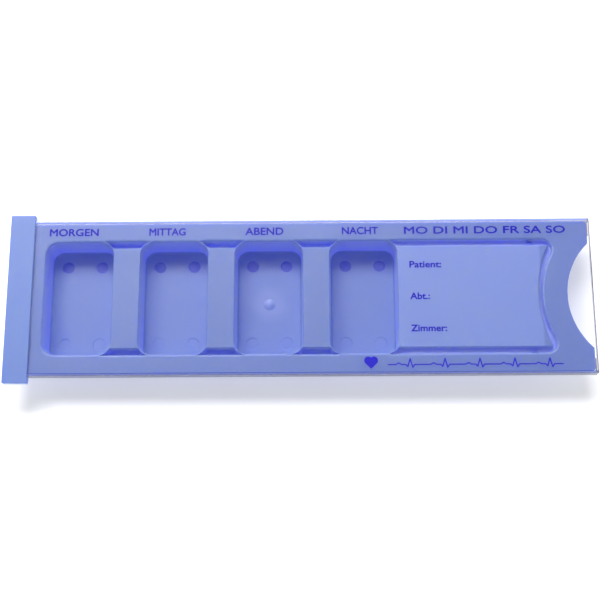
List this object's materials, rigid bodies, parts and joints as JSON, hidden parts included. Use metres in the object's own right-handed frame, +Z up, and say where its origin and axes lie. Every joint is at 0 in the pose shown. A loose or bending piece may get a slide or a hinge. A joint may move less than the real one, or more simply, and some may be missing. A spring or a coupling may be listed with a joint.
{
  "type": "medication dispenser tray",
  "caption": "Flat one-day medication tray with open pill cups under a clear lid that slides off along rails, a raised name panel, an end stop bar and a thumb notch.",
  "frame": {"origin": "centre of the whole object's footprint, on the surface that the cups stand on", "axes": "+X along the tray from the end bar to the thumb notch, +Y to the back margin, +Z up"},
  "size_m": [0.1906, 0.0564, 0.013],
  "materials": {
    "tray_plastic": "light blue translucent polypropylene, injection moulded, satin",
    "lid_plastic": "clear polystyrene, injection moulded, polished, with fine scratches",
    "legend_ink": "blue-violet pad-printed ink"
  },
  "bodies": {
    "tray": {"deck_frame": "tray_plastic", "end_bar": "tray_plastic", "morning_cup": "tray_plastic", "noon_cup": "tray_plastic", "evening_cup": "tray_plastic", "night_cup": "tray_plastic", "bridge_1": "tray_plastic", "bridge_2": "tray_plastic", "bridge_3": "tray_plastic", "bridge_well_1_back": "tray_plastic", "bridge_well_1_front": "tray_plastic", "bridge_well_2_back": "tray_plastic", "bridge_well_2_front": "tray_plastic", "bridge_well_3_back": "tray_plastic", "bridge_well_3_front": "tray_plastic", "name_panel": "tray_plastic", "panel_moat": "tray_plastic", "card_nub_back": "tray_plastic", "card_nub_front": "tray_plastic"},
    "lid": {"lid_window": "lid_plastic", "lid_back_wall": "lid_plastic", "lid_back_lip": "lid_plastic", "lid_front_wall": "lid_plastic", "lid_front_lip": "lid_plastic", "print_morning": "legend_ink", "print_noon": "legend_ink", "print_evening": "legend_ink", "print_night": "legend_ink", "print_patient": "legend_ink", "print_ward": "legend_ink", "print_room": "legend_ink", "print_weekdays": "legend_ink", "print_heart": "legend_ink", "print_pulse_line": "legend_ink"}
  },
  "joints": [
    {"name": "lid_slide", "type": "slide", "parent": "tray", "child": "lid", "axis": [1, 0, 0], "range_m": [0, 0.184]}
  ]
}
